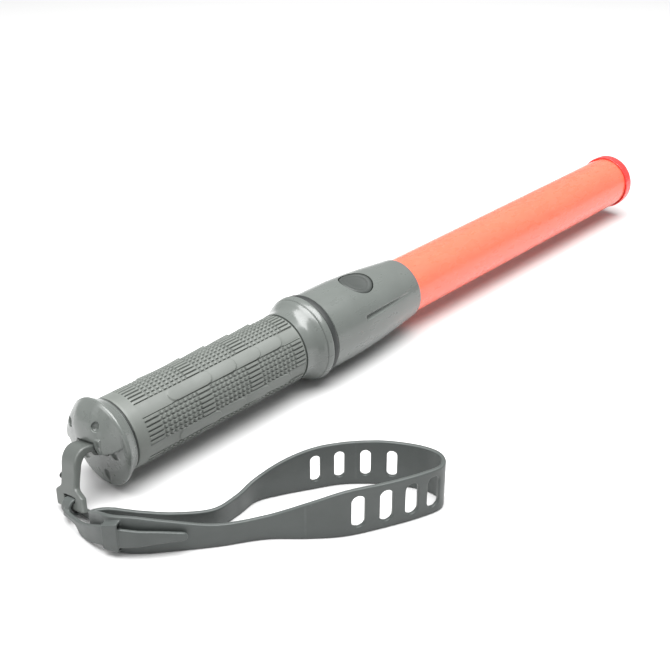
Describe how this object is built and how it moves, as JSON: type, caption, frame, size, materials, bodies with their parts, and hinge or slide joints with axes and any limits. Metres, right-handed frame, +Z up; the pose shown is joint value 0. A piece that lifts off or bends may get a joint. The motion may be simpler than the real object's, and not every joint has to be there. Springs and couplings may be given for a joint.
{
  "type": "traffic baton light",
  "caption": "Handheld traffic baton light: grey battery handle with a push button, an orange translucent tube with a red tip, and a slotted rubber wrist strap on its screw-on tail cap.",
  "frame": {"origin": "centre of the bounding box, on the floor that the baton and its strap lie on", "axes": "+X along the baton's axis, from the tail cap to the red tip; +Z up; the wrist strap lies on the -Y side"},
  "size_m": [0.5779, 0.1836, 0.0572],
  "materials": {
    "housing_grey": "moulded grey ABS with a soft satin gloss",
    "grip_grey": "light grey ribbed and cross-hatched rubbery sleeve, matt",
    "rubber_dark": "dark grey rubber, matt",
    "strap_rubber": "dark grey soft moulded rubber",
    "tube_orange": "translucent orange tube, satin outside",
    "tip_red": "translucent red cap, glossy",
    "chrome": "vacuum-plated reflector",
    "steel": "plated steel",
    "brass": "spring brass",
    "board_green": "glass-epoxy board with green resist",
    "switch_black": "black nylon",
    "led_lens": "red-tinted epoxy lens",
    "cell_jacket": "printed-free dark jacket on a metal can",
    "wire_red": "red insulated wire",
    "wire_black": "black insulated wire"
  },
  "bodies": {
    "handle": {"handle_barrel": "housing_grey", "grip_sleeve": "grip_grey", "head_o_ring": "rubber_dark", "head_shell": "housing_grey", "tube_ring": "housing_grey", "light_tube": "tube_orange", "tip_cap": "tip_red", "reflector": "chrome", "led_board": "board_green", "led_1": "led_lens", "led_2": "led_lens", "led_3": "led_lens", "circuit_board": "board_green", "board_screw_rear": "steel", "board_screw_front": "steel", "switch_body": "switch_black", "battery_rear": "cell_jacket", "battery_front": "cell_jacket", "front_contact": "brass", "conductor_strip": "brass", "lead_positive": "wire_red", "lead_negative": "wire_black", "lead_led_1": "wire_red", "lead_led_2": "wire_black"},
    "button": {"button_cap": "rubber_dark", "switch_stem": "switch_black"},
    "seal": {"cap_seal": "rubber_dark"},
    "tail_cap": {"tail_cap": "housing_grey", "strap_pin": "steel", "tail_contact": "brass", "tail_spring": "steel"},
    "link": {"strap_link": "strap_rubber", "link_stud": "rubber_dark"},
    "wrist_strap": {"wrist_strap": "strap_rubber"}
  },
  "joints": [
    {"name": "button_press", "type": "slide", "parent": "handle", "child": "button", "axis": [0, 0.1736, -0.9848], "range_m": [0, 0.0015], "stiffness_N_per_m": 1600},
    {"name": "cap_travel", "type": "slide", "parent": "handle", "child": "seal", "axis": [-1, 0, 0], "range_m": [0, 0.009]},
    {"name": "cap_turn", "type": "hinge", "parent": "seal", "child": "tail_cap", "pos_m": [-0.25105, 0.0632, 0.0286], "axis": [-1, 0, 0], "range_deg": [0, 1080]},
    {"name": "link_swing", "type": "hinge", "parent": "tail_cap", "child": "link", "pos_m": [-0.25625, 0.0633, 0.02909], "axis": [0, 0.9781, -0.2079], "range_deg": [-30, 13]},
    {"name": "strap_swing", "type": "hinge", "parent": "link", "child": "wrist_strap", "pos_m": [-0.28005, 0.0519, 0.0071], "axis": [0, 0.9781, -0.2079], "range_deg": [-25, 45]}
  ],
  "couplings": [
    {"joint": "cap_travel", "follows": "cap_turn", "m_per_rad": 0.00047746}
  ]
}
